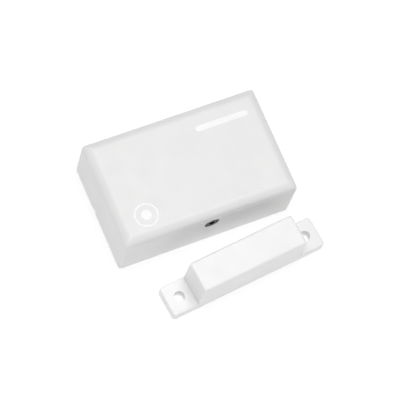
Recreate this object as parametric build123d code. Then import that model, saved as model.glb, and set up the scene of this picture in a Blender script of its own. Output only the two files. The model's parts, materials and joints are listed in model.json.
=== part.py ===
from build123d import *
from math import atan, degrees
import os

# Door contact sensor: a battery-powered sensor box for the frame and a flanged magnet unit for the door.
# Millimetres. The origin is the centre of the box's back face, which lies on the wall. +Z points away from
# the wall, +X runs along the box's long side, and the magnet unit lies on its -Y side.

# Sensor box
box_length = 68.0
box_width = 42.0
box_height = 24.2
wall_gap = 0.2              # the cover's rim stands this far off the wall
wall = 2.0                  # thickness of the cover's walls and front
shoulder_height = 20.4      # where the upright walls end and the rounded front edge begins
shoulder_step = 0.15        # along the long walls the rounded edge starts this far inside them
corner_radius = 1.2
hollow_corner = 0.8
hollow_edge = 1.8           # rounding between the walls and the front, inside
root_depth = 0.4            # inner ribs and bosses start this deep in the cover's skin
notch_y = 3.0               # release notch in the left wall
notch_width = 2.4
notch_height = 1.6
cell_rib_x = 9.0            # ribs under the front that hold the cell down
cell_rib_half_length = 5.0
cell_rib_half_width = 0.6
peg_radius = 1.8            # peg under the front that presses the tamper plunger
inner_clearance = 0.3       # between the ribs or the peg and what lies under them

# Wall plate
fit_gap = 0.2               # between the plate's edge and the cover's walls
plate_thickness = 2.0
rim_height = 4.0
rim_thickness = 1.2
wall_screw_spacing = 55.0
wall_screw_y = 8.6
wall_screw_hole = 2.1
wall_screw_pad = 4.2
wall_pad_height = 1.2
stake_x = 12.0              # stakes that locate the cell holder
stake_radius = 1.1
stake_height = 0.9

# Lock screw, along +Y through the cover's long wall
lock_x = 0.5
lock_z = 16.4
lock_hole = 2.9
lock_head = 2.8
lock_head_length = 1.6
lock_sunk = 0.1             # the head's face lies this far inside the wall's outer face
lock_thread = 1.5
lock_neck = 1.15
driver_socket = 2.0         # width across the flats of the hexagonal socket
driver_depth = 1.0
boss_half_width = 4.4
boss_back_y = -13.2
counterbore_y = -17.2
insert_radius = 2.3
insert_bore = 1.55
clip_radius = 2.7
clip_thickness = 0.4
clip_gap = 0.2
keeper_half_width = 4.0
keeper_thickness = 2.0
keeper_hole = 2.0
keeper_gap = 0.3            # between the screw's tip, backed out, and the keeper
keeper_y = -10.9

# Circuit board
board_thickness = 1.6
board_bottom = 5.0
board_half_length = 29.2
board_low_y = -18.0
board_high_y = -1.3
board_screw_x = 27.0
board_screw_ys = (-15.2, -4.2)
board_screw = 1.0
board_hole = 1.2
board_screw_head = 1.9
board_post = 2.6
slot_half_width = 4.7       # slot in the board for the keeper
slot_end_y = -5.6

# Cell and its holder, along X
cell_radius = 8.5
cell_body_start = -16.4
cell_body_length = 33.5
cell_nub = 3.2
cell_nub_length = 1.0
cell_y = 8.6
cell_bottom = 3.4
cell_slack = 0.1
holder_wall_inner = 21.0
holder_wall = 1.6
holder_rail_half = 17.5
holder_rail_top = 8.0
holder_wall_top = 16.0
contact_thickness = 0.4
spring_wire = 0.35
spring_wide = 4.4
spring_narrow = 2.4

# Parts on the board
reed_x = 15.5
reed_y = -16.4
reed_z = 8.6
reed_radius = 1.15
reed_half = 6.2
reed_lead = 0.28
chip_xy = (13.4, -9.6)
chip_size = 7.0
crystal_xy = (23.4, -10.0)
led_xy = (8.6, -3.4)
capacitor_places = ((-6.2, -15.6), (-6.2, -12.4), (-6.2, -9.2), (7.0, -12.4), (7.0, -9.6), (7.0, -6.8))
resistor_places = ((11.2, -3.0), (12.7, -3.0), (14.2, -3.0), (22.4, -3.0), (-22.2, -4.4), (-22.2, -15.0))
plunger_gap = 0.1           # round each plunger, and under it at the end of its travel
tamper_xy = (-24.5, -9.7)
tamper_size = 6.0
tamper_body_height = 3.4
tamper_travel = 0.5
tamper_top = 13.2
tamper_bottom = 8.0
tamper_bore = 1.8
learn_xy = (18.5, -3.8)
learn_size = 4.0
learn_body_height = 1.8
learn_travel = 0.3
learn_top = 9.3
learn_bottom = 7.4
learn_bore = 1.2

# Magnet unit, in its own frame before it is laid beside the box
magnet_x = 8.1
magnet_y = -36.5
magnet_turn = 5.8
flange_length = 63.5
flange_width = 12.0
flange_thickness = 4.2
flange_corner = 1.2
flange_edge = 0.5
magnet_height = 18.2
block_top_length = 42.4
block_root = 43.5
magnet_screw_circle = 53.0
magnet_screw_hole = 2.0
pocket_length = 36.4
pocket_width = 8.4
pocket_top = 16.0
bar_height = 10.0
seat_gap = 0.1
block_edge = 0.8
plug_wall = 1.5

# Values that follow from the ones above
cell_z = cell_bottom + cell_radius
contact_top = holder_wall_top - 1
board_top = board_bottom + board_thickness
front_inner = box_height - wall
inner_length = box_length - 2 * wall
inner_width = box_width - 2 * wall
screw_face_y = -box_width / 2 + lock_sunk
screw_tip_y = keeper_y - keeper_gap
clip_front_y = boss_back_y + clip_gap


def save(shape, name):
    """Write one sub-part to its own file."""
    export_step(shape, f"parts/{name}.step")


def block(x, y, z):
    """A box from its (low, high) limits along each axis."""
    solid = Box(x[1] - x[0], y[1] - y[0], z[1] - z[0], align=Align.MIN)
    return Pos(x[0], y[0], z[0]) * solid


def peg(radius, x, y, bottom, top):
    """An upright round peg."""
    return Pos(x, y, bottom) * Cylinder(radius, top - bottom, align=(Align.CENTER, Align.CENTER, Align.MIN))


def rod_y(radius, x, z, start, end):
    """A round rod along +Y."""
    rod = Cylinder(radius, end - start, align=(Align.CENTER, Align.CENTER, Align.MIN))
    return Pos(x, start, z) * Rot(-90, 0, 0) * rod


def rod_x(radius, y, z, start, end):
    """A round rod along +X."""
    rod = Cylinder(radius, end - start, align=(Align.CENTER, Align.CENTER, Align.MIN))
    return Pos(start, y, z) * Rot(0, 90, 0) * rod


def slab(length, width, corner, bottom, top):
    """A flat plate centred on the origin, with rounded corners."""
    return extrude(Pos(0, 0, bottom) * RectangleRounded(length, width, corner), top - bottom)


def soft_front(length, width, corner, bottom, top, edge_radius):
    """A block whose four front edges are rounded and meet in mitred corners."""

    def arch(span):
        face = Pos(0, (bottom + top) / 2) * Rectangle(span, top - bottom)
        return fillet(face.vertices().group_by(Axis.Y)[-1], edge_radius)

    across = extrude(Plane.XZ * arch(length), width / 2, both=True)
    along = extrude(Plane.YZ * arch(width), length / 2, both=True)
    return slab(length, width, corner, bottom, top) & across & along


def tongue(half_width, root_z, tip_z, start, end):
    """A tab around the lock screw's axis: straight at its root, half round at its tip, thick along Y."""
    plate = Pos(lock_x, (root_z + lock_z) / 2) * Rectangle(2 * half_width, abs(root_z - lock_z))
    plate += Pos(lock_x, lock_z) * Circle(half_width)
    solid = extrude(Plane.XZ * plate, -(end - start))
    limit = sorted((root_z, tip_z))
    return Pos(0, start, 0) * solid & block((-box_length, box_length), (-box_width, box_width), limit)


def make_front_cover():
    """The moulded cover: walls, rounded front, screw boss, cell ribs and the tamper switch's peg."""
    walls = slab(box_length, box_width, corner_radius, wall_gap, shoulder_height)
    edge = box_height - shoulder_height
    front = soft_front(box_length, box_width - 2 * shoulder_step, corner_radius,
                       shoulder_height - edge / 4, box_height, edge)
    hollow = soft_front(inner_length, inner_width, hollow_corner, -wall, front_inner, hollow_edge)
    cover = walls + front - hollow

    rooted = front_inner + root_depth
    boss_start = -inner_width / 2 - root_depth
    cover += tongue(boss_half_width, rooted, lock_z - boss_half_width, boss_start, boss_back_y)
    rib_foot = cell_z + cell_radius + inner_clearance
    for x in (-cell_rib_x, cell_rib_x):
        rib = block((x - cell_rib_half_width, x + cell_rib_half_width),
                    (cell_y - cell_rib_half_length, cell_y + cell_rib_half_length), (rib_foot, rooted))
        cover += chamfer(rib.edges().group_by(Axis.Z)[0], 0.2)
    tamper_peg = peg(peg_radius, *tamper_xy, tamper_top + inner_clearance, rooted)
    cover += chamfer(tamper_peg.edges().group_by(Axis.Z)[0], 0.2)

    cover -= rod_y(lock_hole, lock_x, lock_z, -box_width / 2 - 1, counterbore_y)
    cover -= rod_y(insert_radius, lock_x, lock_z, counterbore_y, boss_back_y)
    notch = block((-box_length / 2 - 1, -inner_length / 2 + 1),
                  (notch_y - notch_width / 2, notch_y + notch_width / 2), (0, wall_gap + notch_height))
    return cover - notch


def make_threaded_insert():
    """Brass insert pressed into the cover's boss, with a groove round its middle."""
    insert = rod_y(insert_radius, lock_x, lock_z, counterbore_y, boss_back_y)
    middle = (counterbore_y + boss_back_y) / 2
    groove_half = 0.3
    groove_depth = 0.2
    groove = rod_y(insert_radius + 1, lock_x, lock_z, middle - groove_half, middle + groove_half)
    groove -= rod_y(insert_radius - groove_depth, lock_x, lock_z, middle - groove_half, middle + groove_half)
    insert = chamfer(insert.edges().filter_by(GeomType.CIRCLE), 0.1) - groove
    return insert - rod_y(insert_bore, lock_x, lock_z, counterbore_y, boss_back_y)


def make_lock_screw():
    """Captive lock screw: socket head, threaded shank, clip groove and chamfered tip."""
    head_end = screw_face_y + lock_head_length
    head = chamfer(rod_y(lock_head, lock_x, lock_z, screw_face_y, head_end).edges(), 0.15)
    shank = rod_y(lock_thread, lock_x, lock_z, head_end, screw_tip_y)
    shank = chamfer(shank.edges().sort_by(Axis.Y)[-1], 0.4)
    groove = rod_y(lock_thread + 1, lock_x, lock_z, clip_front_y, clip_front_y + clip_thickness)
    groove -= rod_y(lock_neck, lock_x, lock_z, clip_front_y, clip_front_y + clip_thickness)
    hexagon = RegularPolygon(driver_socket / 2, 6, major_radius=False)
    socket = Pos(lock_x, screw_face_y, lock_z) * Rot(-90, 0, 0) * extrude(hexagon, driver_depth)
    return head + shank - groove - socket


def make_retaining_clip():
    """Ring that sits in the screw's groove behind the boss and keeps the screw in the cover."""
    end = clip_front_y + clip_thickness
    side_gap = 0.03
    bore_gap = 0.05
    half_mouth = 0.85
    ring = rod_y(clip_radius, lock_x, lock_z, clip_front_y + side_gap, end - side_gap)
    ring -= rod_y(lock_neck + bore_gap, lock_x, lock_z, clip_front_y, end)
    mouth = block((lock_x - half_mouth, lock_x + half_mouth), (clip_front_y, end),
                  (lock_z - clip_radius, lock_z))
    return ring - mouth


def make_keeper_rib(side):
    """Triangular rib that stiffens one side of the keeper."""
    half_thickness = 0.6
    reach = 3.6
    x = lock_x + side * (keeper_half_width - half_thickness)
    back = keeper_y + keeper_thickness / 2
    rib = Polyline((back, plate_thickness - 1), (back + reach, plate_thickness - 1),
                   (back + reach, plate_thickness), (back, lock_z - keeper_half_width), close=True)
    return Pos(x, 0, 0) * extrude(Plane.YZ * make_face(rib), half_thickness, both=True)


def make_back_plate():
    """Wall plate: rim, screw pads, board posts, locating stakes and the keeper for the lock screw."""
    length = inner_length - 2 * fit_gap
    width = inner_width - 2 * fit_gap
    plate = slab(length, width, hollow_corner, 0, rim_height)
    plate -= slab(length - 2 * rim_thickness, width - 2 * rim_thickness, 0.4, plate_thickness, rim_height)
    plate = fillet(plate.edges().group_by(Axis.Z)[-1], 0.3)
    plate = chamfer(plate.edges().group_by(Axis.Z)[0], 0.3)

    rooted = plate_thickness - 1
    for side in (-1, 1):
        x = side * wall_screw_spacing / 2
        pad = peg(wall_screw_pad, x, wall_screw_y, rooted, plate_thickness + wall_pad_height)
        plate += chamfer(pad.edges().group_by(Axis.Z)[-1], 0.3)
        plate -= peg(wall_screw_hole, x, wall_screw_y, -1, rim_height)
        stake = peg(stake_radius, side * stake_x, cell_y, rooted, plate_thickness + stake_height)
        plate += chamfer(stake.edges().group_by(Axis.Z)[-1], 0.2)
        for y in board_screw_ys:
            plate += peg(board_post, side * board_screw_x, y, rooted, board_bottom)
            plate -= peg(board_screw, side * board_screw_x, y, plate_thickness - 0.9, board_bottom)
        plate += make_keeper_rib(side)

    top = lock_z + keeper_half_width
    plate += tongue(keeper_half_width, rooted, top, keeper_y, keeper_y + keeper_thickness)
    return plate - rod_y(keeper_hole, lock_x, lock_z, keeper_y - 1, keeper_y + keeper_thickness + 1)


def make_circuit_board():
    """The board, with a slot for the keeper and holes for its four screws."""
    outline = Pos(0, (board_low_y + board_high_y) / 2, board_bottom)
    outline *= RectangleRounded(2 * board_half_length, board_high_y - board_low_y, 0.8)
    board = extrude(outline, board_thickness)
    slot = block((lock_x - slot_half_width, lock_x + slot_half_width), (board_low_y - 1, slot_end_y),
                 (board_bottom, board_top))
    board -= fillet(slot.edges().filter_by(Axis.Z).group_by(Axis.Y)[-1], 0.8)
    for x in (-board_screw_x, board_screw_x):
        for y in board_screw_ys:
            board -= peg(board_hole, x, y, board_bottom, board_top)
    return board


def make_board_screw(x, y):
    """Pan-head self-tapping screw with a cross recess."""
    head_top = board_top + 1.3
    recess = board_top + 0.7
    head = fillet(peg(board_screw_head, x, y, board_top, head_top).edges().sort_by(Axis.Z)[-1], 0.7)
    shank = peg(board_screw, x, y, plate_thickness - 0.8, board_top)
    shank = chamfer(shank.edges().sort_by(Axis.Z)[0], 0.5)
    arm = 1.0
    slot = 0.22
    cross = block((x - arm, x + arm), (y - slot, y + slot), (recess, head_top))
    cross += block((x - slot, x + slot), (y - arm, y + arm), (recess, head_top))
    return head + shank - cross


def make_battery_holder():
    """Black cradle: a floor, two rails shaped to the cell and two end walls that carry the contacts."""
    low_y = cell_y - cell_radius - cell_slack
    high_y = cell_y + cell_radius + cell_slack
    outer = holder_wall_inner + holder_wall
    floor = block((-outer, outer), (low_y, high_y), (plate_thickness, cell_bottom - cell_slack))
    floor = fillet(floor.edges().filter_by(Axis.Z), 0.8)
    rails = block((-holder_rail_half, holder_rail_half), (low_y, high_y), (plate_thickness, holder_rail_top))
    holder = floor + chamfer(rails.edges().filter_by(Axis.Z), 0.4)
    wall_half_width = 7.0
    for side in (-1, 1):
        middle = side * (holder_wall_inner + holder_wall / 2)
        face = Pos(cell_y, (plate_thickness + holder_wall_top) / 2)
        face *= Rectangle(2 * wall_half_width, holder_wall_top - plate_thickness)
        face = fillet(face.vertices().group_by(Axis.Y)[-1], 3)
        end_wall = extrude(Plane.YZ * face, holder_wall / 2, both=True)
        outer_face = end_wall.faces().sort_by(Axis.X)[-1 if side > 0 else 0]
        holder += Pos(middle, 0, 0) * chamfer(outer_face.edges(), 0.3)
        holder -= peg(stake_radius + 0.1, side * stake_x, cell_y, plate_thickness, plate_thickness + 1)
    reach = holder_rail_half + 2
    return holder - rod_x(cell_radius + cell_slack, cell_y, cell_z, -reach, reach)


def make_battery():
    """Lithium cell: rounded can with a crimp groove near its positive end, and the positive nub."""
    can = cell_body_length
    groove = cell_radius - 0.4
    soft = 0.2
    profile = Polyline((0, 0), (0, cell_radius - 3 * soft), (3 * soft, cell_radius), (can - 3.6, cell_radius),
                       (can - 3.2, groove), (can - 2.6, groove), (can - 2.2, cell_radius),
                       (can - 4 * soft, cell_radius), (can, cell_radius - 4 * soft), (can, cell_nub),
                       (can + cell_nub_length - soft, cell_nub), (can + cell_nub_length, cell_nub - soft),
                       (can + cell_nub_length, 0), close=True)
    return Pos(cell_body_start, cell_y, cell_z) * revolve(make_face(profile), Axis.X)


def make_contact(side):
    """Contact plate on the holder's end wall, with a tail that lies on the circuit board."""
    inner = holder_wall_inner - contact_thickness
    x = sorted((side * inner, side * holder_wall_inner))
    half_width = 4.5
    tail_width = 1.8
    plate = block(x, (cell_y - half_width, cell_y + half_width), (cell_bottom + 1.6, contact_top))
    plate = fillet(plate.edges().filter_by(Axis.X), 1.0)
    tail = block(x, (board_high_y - 1.2, cell_y - half_width + 1.5), (board_top, board_top + tail_width))
    return plate + tail


def make_contact_positive():
    """Plate with a V-shaped leaf that touches the cell's nub."""
    nub_x = cell_body_start + cell_body_length + cell_nub_length
    inner = holder_wall_inner - contact_thickness
    back_x = nub_x + contact_thickness
    foot_x = inner - 0.6
    foot_z = cell_z - 4
    half_flat = 0.8
    half_back = 0.7
    half_width = 2.6
    leaf = Polyline((inner, contact_top), (nub_x, cell_z + half_flat), (nub_x, cell_z - half_flat),
                    (foot_x, foot_z), (foot_x + contact_thickness, foot_z), (back_x, cell_z - half_back),
                    (back_x, cell_z + half_back), (inner, contact_top - contact_thickness), close=True)
    strip = extrude(Plane.XZ * make_face(leaf), half_width, both=True)
    return make_contact(1) + Pos(0, cell_y, 0) * strip


def coil(radius, wire, pitch, length, cone_angle):
    """A wire helix that starts at the origin's plane and runs along +X."""
    path = Helix(pitch, length, radius, cone_angle=cone_angle)
    wire_end = Plane(path @ 0, z_dir=path % 0) * Circle(wire)
    return Rot(0, 90, 0) * sweep(wire_end, path, is_frenet=True)


def make_battery_spring():
    """Conical spring between the negative contact and the cell, wide at the contact."""
    start = -holder_wall_inner + contact_thickness + spring_wire
    end = cell_body_start - spring_wire
    length = end - start
    turns = 3.5
    cone = -degrees(atan((spring_wide - spring_narrow) / length))
    return Pos(start, cell_y, cell_z) * coil(spring_wide, spring_wire, length / turns, length, cone)


def make_antenna():
    """Helical antenna that lies along the board, with its feed leg soldered into the board."""
    radius = 1.5
    wire = 0.3
    pitch = 1.5
    length = 12.0
    start = -19.0
    y = -3.4
    z = board_top + radius + wire + 0.1
    turns = Pos(start, y, z) * coil(radius, wire, pitch, length, 0)
    knee = Pos(start, y, z - radius) * Sphere(wire * 1.02)
    return turns + knee + peg(wire, start, y, board_top, z - radius)


def make_reed_glass():
    """Sealed glass tube of the reed switch, hollow, with its leads fused into both ends."""
    glass_wall = 0.4
    seal = 1.6
    start = reed_x - reed_half
    end = reed_x + reed_half
    tube = fillet(rod_x(reed_radius, reed_y, reed_z, start, end).edges(), 0.7)
    tube -= rod_x(reed_radius - glass_wall, reed_y, reed_z, start + seal, end - seal)
    return tube - rod_x(reed_lead, reed_y, reed_z, start, end)


def make_reed_blades():
    """Two leads that turn down into the board outside the glass, each with a flat reed inside it."""
    foot_offset = reed_half + 1.6
    root = 3.6              # where each reed widens, from the middle of the glass
    overlap = 0.8
    half_width = 0.4
    half_thickness = 0.09
    offset = 0.14           # the two reeds lie this far above and below the axis
    blades = Part()
    for side in (-1, 1):
        foot_x = reed_x + side * foot_offset
        lead = sorted((reed_x + side * (root - 0.2), foot_x))
        blades += rod_x(reed_lead, reed_y, reed_z, *lead)
        blades += Pos(foot_x, reed_y, reed_z) * Sphere(reed_lead * 1.02)
        blades += peg(reed_lead, foot_x, reed_y, board_top, reed_z)
        tip = sorted((reed_x - side * overlap, reed_x + side * root))
        height = reed_z + side * offset
        blades += block(tip, (reed_y - half_width, reed_y + half_width),
                        (height - half_thickness, height + half_thickness))
    return blades


def make_radio_shield():
    """Folded tin can over the radio, open towards the board, with vent holes in its top."""
    x = (-20.0, -9.0)
    y = (-16.8, -7.8)
    skin = 0.3
    top = board_top + 2.2
    can = block(x, y, (board_top, top))
    can = fillet(can.edges().filter_by(Axis.Z), 0.6)
    can = fillet(can.edges().group_by(Axis.Z)[-1], 0.3)
    can -= block((x[0] + skin, x[1] - skin), (y[0] + skin, y[1] - skin), (board_top, top - skin))
    vent = 0.45
    margin = 2.4
    step = 2.08
    for column in range(4):
        for row in range(3):
            can -= peg(vent, x[0] + margin + step * column, y[0] + margin + step * row, top - 1, top + 1)
    return can


def make_controller_chip():
    """Square chip package with bevelled edges and a pin-one dimple."""
    x, y = chip_xy
    half = chip_size / 2
    top = board_top + 1.2
    dimple = 0.45
    inset = 1.1
    chip = block((x - half, x + half), (y - half, y + half), (board_top + 0.1, top))
    chip = chamfer(chip.edges().group_by(Axis.Z)[-1], 0.25)
    return chip - peg(dimple, x - half + inset, y + half - inset, top - 0.1, top + 0.1)


def make_chip_pins():
    """Gull-wing pins, eight on each side of the chip."""
    half = chip_size / 2
    pitch = 0.8
    per_side = 8
    half_width = 0.16
    outline = Polyline((half, 0.5), (half + 0.35, 0.5), (half + 0.55, 0.0), (half + 1.1, 0.0),
                       (half + 1.1, 0.18), (half + 0.68, 0.18), (half + 0.48, 0.68), (half, 0.68), close=True)
    pin = extrude(Plane.XZ * make_face(outline), half_width, both=True)
    pins = []
    for quarter in range(4):
        for step in range(per_side):
            offset = (step - (per_side - 1) / 2) * pitch
            place = Pos(*chip_xy, board_top) * Rot(0, 0, 90 * quarter) * Pos(0, offset, 0)
            pins.append(place * pin)
    return Compound(children=pins)


def make_crystal():
    """Quartz crystal in an oval can with a flange."""
    place = Pos(*crystal_xy, board_top) * Rot(0, 0, 90)
    flange = extrude(place * SlotOverall(8.6, 4.2), 0.4)
    can = extrude(place * SlotOverall(7.8, 3.4), 2.8)
    return flange + fillet(can.edges().group_by(Axis.Z)[-1], 0.5)


def make_chips(places, length, width, height):
    """Small ceramic parts, each (x, y) with its long side along Y."""
    chips = []
    for x, y in places:
        body = block((x - width / 2, x + width / 2), (y - length / 2, y + length / 2),
                     (board_top, board_top + height))
        chips.append(fillet(body.edges(), 0.12))
    return Compound(children=chips)


def make_status_led():
    """Surface-mounted light with a clear domed lens."""
    x, y = led_xy
    body_top = board_top + 0.7
    body = block((x - 1.6, x + 1.6), (y - 0.9, y + 0.9), (board_top, body_top))
    dome = Sphere(0.75) & Pos(0, 0, 0.5) * Box(2, 2, 1)
    return body + Pos(x, y, body_top) * dome


def make_switch(x, y, size, height, bore, bore_bottom):
    """Square push switch, open at the top for its plunger."""
    half = size / 2
    top = board_top + height
    body = block((x - half, x + half), (y - half, y + half), (board_top, top))
    body = chamfer(body.edges().filter_by(Axis.Z), 0.4)
    collar = 0.7
    body += peg(bore + collar, x, y, top - 0.5, top + 0.4)
    return body - peg(bore, x, y, bore_bottom, top + 1)


def make_plunger(x, y, radius, bottom, top):
    """Round plunger with a softened top edge."""
    return fillet(peg(radius, x, y, bottom, top).edges().sort_by(Axis.Z)[-1], 0.3)


def lay_magnet(shape):
    """Move a piece from the magnet unit's own frame to its place beside the box."""
    return Pos(magnet_x, magnet_y, 0) * Rot(0, 0, magnet_turn) * shape


def make_magnet_housing():
    """Flanged housing: a raised block with tapered ends on a flange, hollow from behind."""
    flange = slab(flange_length, flange_width, flange_corner, 0, flange_thickness)
    flange = fillet(flange.edges().group_by(Axis.Z)[-1], flange_edge)
    side = Polyline((-block_root / 2, flange_thickness - 1), (block_root / 2, flange_thickness - 1),
                    (block_top_length / 2, magnet_height), (-block_top_length / 2, magnet_height), close=True)
    raised = extrude(Plane.XZ * make_face(side), flange_width / 2, both=True)
    foot = raised.faces().sort_by(Axis.Z)[0]
    soft = [edge for edge in raised.edges() if edge.center().Z > foot.center().Z + 0.1]
    housing = flange + fillet(soft, block_edge)
    housing -= block((-pocket_length / 2, pocket_length / 2), (-pocket_width / 2, pocket_width / 2),
                     (-1, pocket_top))
    for x in (-magnet_screw_circle / 2, magnet_screw_circle / 2):
        housing -= peg(magnet_screw_hole, x, 0, -1, flange_thickness + 1)
    return lay_magnet(housing)


def make_bar_magnet():
    """Sintered bar magnet that fills the front of the pocket."""
    x = pocket_length / 2 - seat_gap
    y = pocket_width / 2 - seat_gap
    bar = block((-x, x), (-y, y), (pocket_top - bar_height, pocket_top))
    return lay_magnet(chamfer(bar.edges(), 0.4))


def make_magnet_retainer():
    """Plug behind the magnet, flush with the housing's back, with two hollows towards the magnet."""
    x = pocket_length / 2 - seat_gap
    y = pocket_width / 2 - seat_gap
    top = pocket_top - bar_height
    half_hollow = x / 2 - plug_wall
    plug = block((-x, x), (-y, y), (0, top))
    plug = chamfer(plug.edges().filter_by(Axis.Z), 0.3)
    for centre in (-x / 2, x / 2):
        plug -= block((centre - half_hollow, centre + half_hollow), (-y + plug_wall, y - plug_wall),
                      (plug_wall, top))
    return lay_magnet(plug)


os.makedirs("parts", exist_ok=True)

save(make_back_plate(), "back_plate")
save(make_circuit_board(), "circuit_board")
screws = [make_board_screw(x, y) for x in (-board_screw_x, board_screw_x) for y in board_screw_ys]
save(Compound(children=screws), "board_screws")
save(make_battery_holder(), "battery_holder")
save(make_battery(), "battery")
save(make_contact_positive(), "contact_positive")
save(make_contact(-1), "contact_negative")
save(make_battery_spring(), "battery_spring")
save(make_reed_glass(), "reed_glass")
save(make_reed_blades(), "reed_blades")
save(make_radio_shield(), "radio_shield")
save(make_antenna(), "antenna")
save(make_controller_chip(), "controller_chip")
save(make_chip_pins(), "chip_pins")
save(make_crystal(), "crystal")
save(make_chips(capacitor_places, 2.0, 1.25, 0.9), "capacitors")
save(make_chips(resistor_places, 1.6, 0.85, 0.5), "resistors")
save(make_status_led(), "status_led")
tamper_floor = tamper_bottom - tamper_travel - plunger_gap
learn_floor = learn_bottom - learn_travel - plunger_gap
save(make_switch(*tamper_xy, tamper_size, tamper_body_height, tamper_bore, tamper_floor), "tamper_switch")
save(make_plunger(*tamper_xy, tamper_bore - plunger_gap, tamper_bottom, tamper_top), "tamper_plunger")
save(make_switch(*learn_xy, learn_size, learn_body_height, learn_bore, learn_floor), "learn_switch")
save(make_plunger(*learn_xy, learn_bore - plunger_gap, learn_bottom, learn_top), "learn_button")

save(make_front_cover(), "front_cover")
save(make_threaded_insert(), "threaded_insert")
save(make_retaining_clip(), "retaining_clip")
save(make_lock_screw(), "lock_screw")

save(make_magnet_housing(), "magnet_housing")
save(make_bar_magnet(), "bar_magnet")
save(make_magnet_retainer(), "magnet_retainer")
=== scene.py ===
import json
from math import cos, pi, radians, sin, tau

import bmesh
import bpy
from mathutils import Matrix, Vector


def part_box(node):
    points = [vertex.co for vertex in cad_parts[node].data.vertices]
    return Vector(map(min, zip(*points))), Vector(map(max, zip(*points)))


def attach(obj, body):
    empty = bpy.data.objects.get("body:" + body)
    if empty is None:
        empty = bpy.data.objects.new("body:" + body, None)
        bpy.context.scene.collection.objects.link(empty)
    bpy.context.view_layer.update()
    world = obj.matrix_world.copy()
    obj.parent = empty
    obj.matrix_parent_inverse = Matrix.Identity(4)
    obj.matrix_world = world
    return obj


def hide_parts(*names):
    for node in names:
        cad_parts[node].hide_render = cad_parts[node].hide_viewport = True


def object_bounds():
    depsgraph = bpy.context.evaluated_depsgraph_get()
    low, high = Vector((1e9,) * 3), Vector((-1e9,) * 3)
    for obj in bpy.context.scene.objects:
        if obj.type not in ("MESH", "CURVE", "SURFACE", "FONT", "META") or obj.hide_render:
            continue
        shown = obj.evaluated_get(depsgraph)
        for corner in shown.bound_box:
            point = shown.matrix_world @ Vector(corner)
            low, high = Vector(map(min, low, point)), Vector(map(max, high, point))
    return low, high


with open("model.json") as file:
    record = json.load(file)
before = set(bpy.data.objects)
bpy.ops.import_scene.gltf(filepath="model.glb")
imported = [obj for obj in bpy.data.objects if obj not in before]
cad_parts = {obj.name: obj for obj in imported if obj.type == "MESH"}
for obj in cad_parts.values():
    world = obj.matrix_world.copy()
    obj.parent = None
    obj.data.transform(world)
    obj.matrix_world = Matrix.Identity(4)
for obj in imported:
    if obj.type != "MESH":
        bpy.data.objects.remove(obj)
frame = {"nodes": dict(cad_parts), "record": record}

# Door contact sensor: a white sensor box with its cover, cell and board, and a flanged magnet unit beside it.
# Metres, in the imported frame: the box's back face is centred on the origin, and +Z points off the wall.
# The cover and the lock screw are rebuilt here; every other CAD node stays and gets its own material.

MM = 0.001
UP = Vector((0, 0, 1))
cad_low, cad_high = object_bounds()
nodes = frame["nodes"]
mounts = {mount["name"]: mount for mount in frame["record"]["mounts"]}


# ---------------------------------------------------------------- materials

def new_material(name, colour, roughness, metallic=0.0, **sockets):
    """A Principled material with its plain values set on the shader's own sockets."""
    material = bpy.data.materials.new(name)
    material.use_nodes = True
    shader = material.node_tree.nodes["Principled BSDF"]
    shader.inputs["Base Color"].default_value = (*colour, 1.0)
    shader.inputs["Roughness"].default_value = roughness
    shader.inputs["Metallic"].default_value = metallic
    for socket, value in sockets.items():
        shader.inputs[socket.replace("_", " ")].default_value = value
    return material


def add_node(material, kind, **values):
    """Adds a node and sets its inputs by name."""
    node = material.node_tree.nodes.new(kind)
    for name, value in values.items():
        node.inputs[name.replace("_", " ")].default_value = value
    return node


def link(material, start, end):
    material.node_tree.links.new(start, end)


def object_noise(material, grain, detail=3.0, stretch=(1, 1, 1)):
    """Noise in the frame's own coordinates, with grains about this many metres across."""
    place = add_node(material, "ShaderNodeTexCoord")
    scale = add_node(material, "ShaderNodeMapping", Scale=stretch)
    noise = add_node(material, "ShaderNodeTexNoise", Scale=1 / grain, Detail=detail)
    link(material, place.outputs["Object"], scale.inputs["Vector"])
    link(material, scale.outputs["Vector"], noise.inputs["Vector"])
    return noise.outputs["Fac"]


def spread(material, value, low, high):
    """Maps noise around 0.5 to a range."""
    ramp = add_node(material, "ShaderNodeMapRange", From_Min=0.3, From_Max=0.7, To_Min=low, To_Max=high)
    link(material, value, ramp.inputs["Value"])
    return ramp.outputs["Result"]


def shade(material, dark, light, grain, detail=3.0, stretch=(1, 1, 1)):
    """Colour that drifts between two tones."""
    mix = material.node_tree.nodes.new("ShaderNodeMix")
    mix.data_type = "RGBA"
    mix.inputs["A"].default_value = (*dark, 1.0)
    mix.inputs["B"].default_value = (*light, 1.0)
    drift = spread(material, object_noise(material, grain, detail, stretch), 0.0, 1.0)
    link(material, drift, mix.inputs["Factor"])
    shader = material.node_tree.nodes["Principled BSDF"]
    link(material, mix.outputs["Result"], shader.inputs["Base Color"])


def gloss(material, low, high, grain, detail=3.0, stretch=(1, 1, 1)):
    """Roughness that varies over the surface, as handled or moulded surfaces do."""
    value = spread(material, object_noise(material, grain, detail, stretch), low, high)
    link(material, value, material.node_tree.nodes["Principled BSDF"].inputs["Roughness"])


def bump(material, grain, height, detail=3.0, stretch=(1, 1, 1), strength=0.5):
    """Fine relief. A second call lies on top of the first."""
    node = add_node(material, "ShaderNodeBump", Strength=strength, Distance=height)
    link(material, object_noise(material, grain, detail, stretch), node.inputs["Height"])
    normal = material.node_tree.nodes["Principled BSDF"].inputs["Normal"]
    if normal.links:
        link(material, normal.links[0].from_socket, node.inputs["Normal"])
    link(material, node.outputs["Normal"], normal)


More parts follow.
